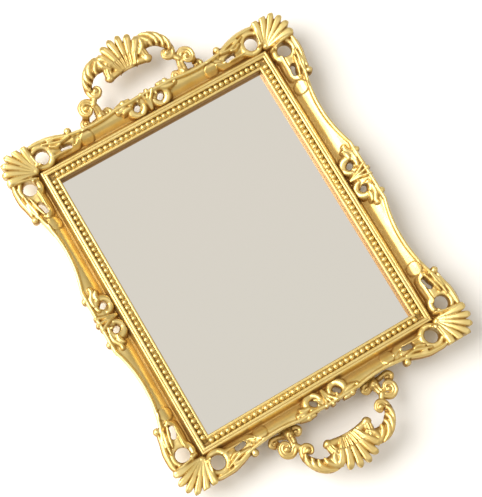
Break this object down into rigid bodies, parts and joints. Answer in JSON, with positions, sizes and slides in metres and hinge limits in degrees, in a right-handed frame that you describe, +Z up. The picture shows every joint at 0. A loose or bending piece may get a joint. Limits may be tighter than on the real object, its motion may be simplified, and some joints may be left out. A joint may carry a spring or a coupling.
{
  "type": "mirror tray",
  "caption": "Rectangular looking glass lying in a gilt carved frame with pearl beading, pierced shell corners and scroll handles on the short ends.",
  "frame": {"origin": "on the surface the tray lies on, under the middle of its bounding box", "axes": "+X across the glass, +Y from one handle to the other, +Z up out of the glass"},
  "size_m": [0.2806, 0.4172, 0.0357],
  "materials": {
    "gilt_wood": "gold leaf, satin, darker in the hollows",
    "gilt_beading": "gold leaf, burnished pearls",
    "gilt_ornament": "cast composition under gold leaf",
    "gilt_casting": "gilt casting, satin",
    "mirror": "silvered glass",
    "board": "hardboard",
    "felt": "felt",
    "steel": "plain steel",
    "brass": "plain brass"
  },
  "bodies": {
    "tray": {"rail_top": "gilt_wood", "rail_bottom": "gilt_wood", "rail_left": "gilt_wood", "rail_right": "gilt_wood", "mitre_splines": "steel", "bead_strip_left": "gilt_beading", "bead_strip_right": "gilt_beading", "bead_strip_bottom": "gilt_beading", "bead_strip_top": "gilt_beading", "corner_shell_top_right": "gilt_ornament", "corner_shell_top_left": "gilt_ornament", "corner_shell_bottom_right": "gilt_ornament", "corner_shell_bottom_left": "gilt_ornament", "centre_cartouche_top": "gilt_ornament", "centre_cartouche_bottom": "gilt_ornament", "centre_cartouche_left": "gilt_ornament", "centre_cartouche_right": "gilt_ornament", "handle_top": "gilt_casting", "handle_bottom": "gilt_casting", "foot_pads": "felt", "handle_screws": "steel", "turn_button_screws": "brass", "mirror_glass": "mirror", "backing_board": "board", "felt_lining": "felt"},
    "button_right_far": {"turn_button_right_far": "brass"},
    "button_right_near": {"turn_button_right_near": "brass"},
    "button_left_far": {"turn_button_left_far": "brass"},
    "button_left_near": {"turn_button_left_near": "brass"}
  },
  "joints": [
    {"name": "turn_right_far", "type": "hinge", "parent": "tray", "child": "button_right_far", "pos_m": [0.107, 0.062, 0.0079], "axis": [0, 0, 1], "continuous": true},
    {"name": "turn_right_near", "type": "hinge", "parent": "tray", "child": "button_right_near", "pos_m": [0.107, -0.062, 0.0079], "axis": [0, 0, -1], "continuous": true},
    {"name": "turn_left_far", "type": "hinge", "parent": "tray", "child": "button_left_far", "pos_m": [-0.107, 0.062, 0.0079], "axis": [0, 0, -1], "continuous": true},
    {"name": "turn_left_near", "type": "hinge", "parent": "tray", "child": "button_left_near", "pos_m": [-0.107, -0.062, 0.0079], "axis": [0, 0, 1], "continuous": true}
  ]
}
